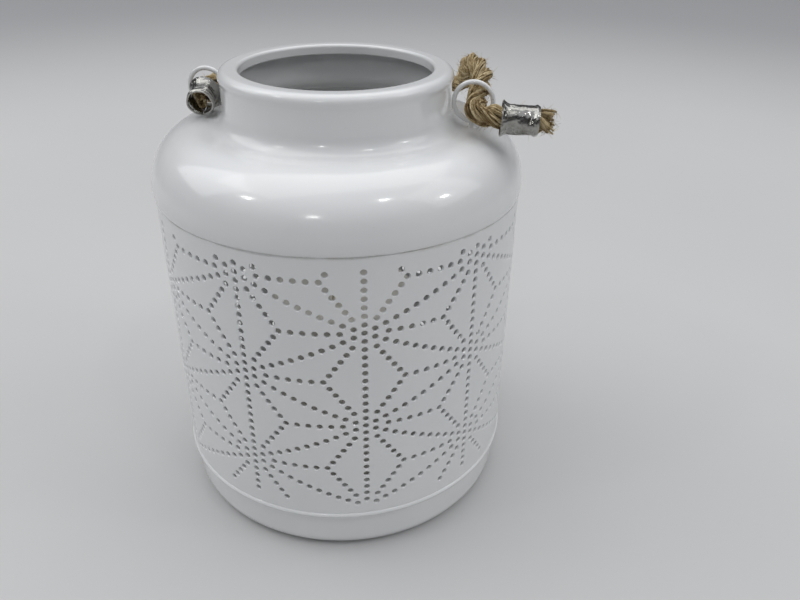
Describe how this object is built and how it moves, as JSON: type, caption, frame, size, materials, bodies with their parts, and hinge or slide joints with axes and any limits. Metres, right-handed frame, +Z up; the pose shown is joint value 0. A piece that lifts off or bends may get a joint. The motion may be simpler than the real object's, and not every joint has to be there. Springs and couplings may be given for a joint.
{
  "type": "mason jar lantern",
  "caption": "White pierced-metal jar lantern with a rope handle through ear rings and a battery candle that lifts out of the mouth.",
  "frame": {"origin": "middle of the foot, on the surface the jar stands on", "axes": "+Z up along the jar's axis, +X through the right ear ring, -Y towards the front"},
  "size_m": [0.1538, 0.1434, 0.1797],
  "materials": {
    "white_lacquer": "gloss white stoved lacquer on steel",
    "jute": "twisted natural jute",
    "bright_ferrule": "bright nickel plate",
    "candle_ivory": "satin ivory",
    "flame_milk": "milky translucent",
    "led_amber": "clear amber",
    "board_green": "solder-mask green",
    "tinned_wire": "tinned",
    "case_ivory": "moulded ivory",
    "cell_jacket": "plain printed jacket",
    "contact_plate": "plated spring brass",
    "switch_black": "moulded black",
    "zinc_screw": "zinc plate"
  },
  "bodies": {
    "jar": {"neck_shoulder": "white_lacquer", "perforated_sleeve": "white_lacquer", "base_pan": "white_lacquer", "left_ear_ring": "white_lacquer", "right_ear_ring": "white_lacquer", "left_ferrule": "bright_ferrule", "right_ferrule": "bright_ferrule"},
    "handle": {"rope_handle": "jute"},
    "candle": {"candle_shell": "candle_ivory", "flame_lens": "flame_milk", "flame_led": "led_amber", "led_board": "board_green", "lead_wires": "tinned_wire", "battery_case": "case_ivory", "cell_1": "cell_jacket", "cell_2": "cell_jacket", "cell_3": "cell_jacket", "top_contacts": "contact_plate", "case_screws": "zinc_screw", "switch_body": "switch_black"},
    "door": {"battery_door": "case_ivory", "door_contact": "contact_plate"},
    "switch": {"switch_slider": "switch_black"}
  },
  "joints": [
    {"name": "handle_swing", "type": "hinge", "parent": "jar", "child": "handle", "pos_m": [0, 0, 0.1672], "axis": [1, 0, 0], "range_deg": [0, 96], "deforming": ["rope_handle"]},
    {"name": "candle_lift", "type": "slide", "parent": "jar", "child": "candle", "axis": [0, 0, 1], "range_m": [0, 0.19]},
    {"name": "door_twist", "type": "hinge", "parent": "candle", "child": "door", "pos_m": [0, 0, 0.005], "axis": [0, 0, 1], "range_deg": [0, 40]},
    {"name": "switch_slide", "type": "slide", "parent": "candle", "child": "switch", "axis": [0, 1, 0], "range_m": [0, 0.003]}
  ]
}
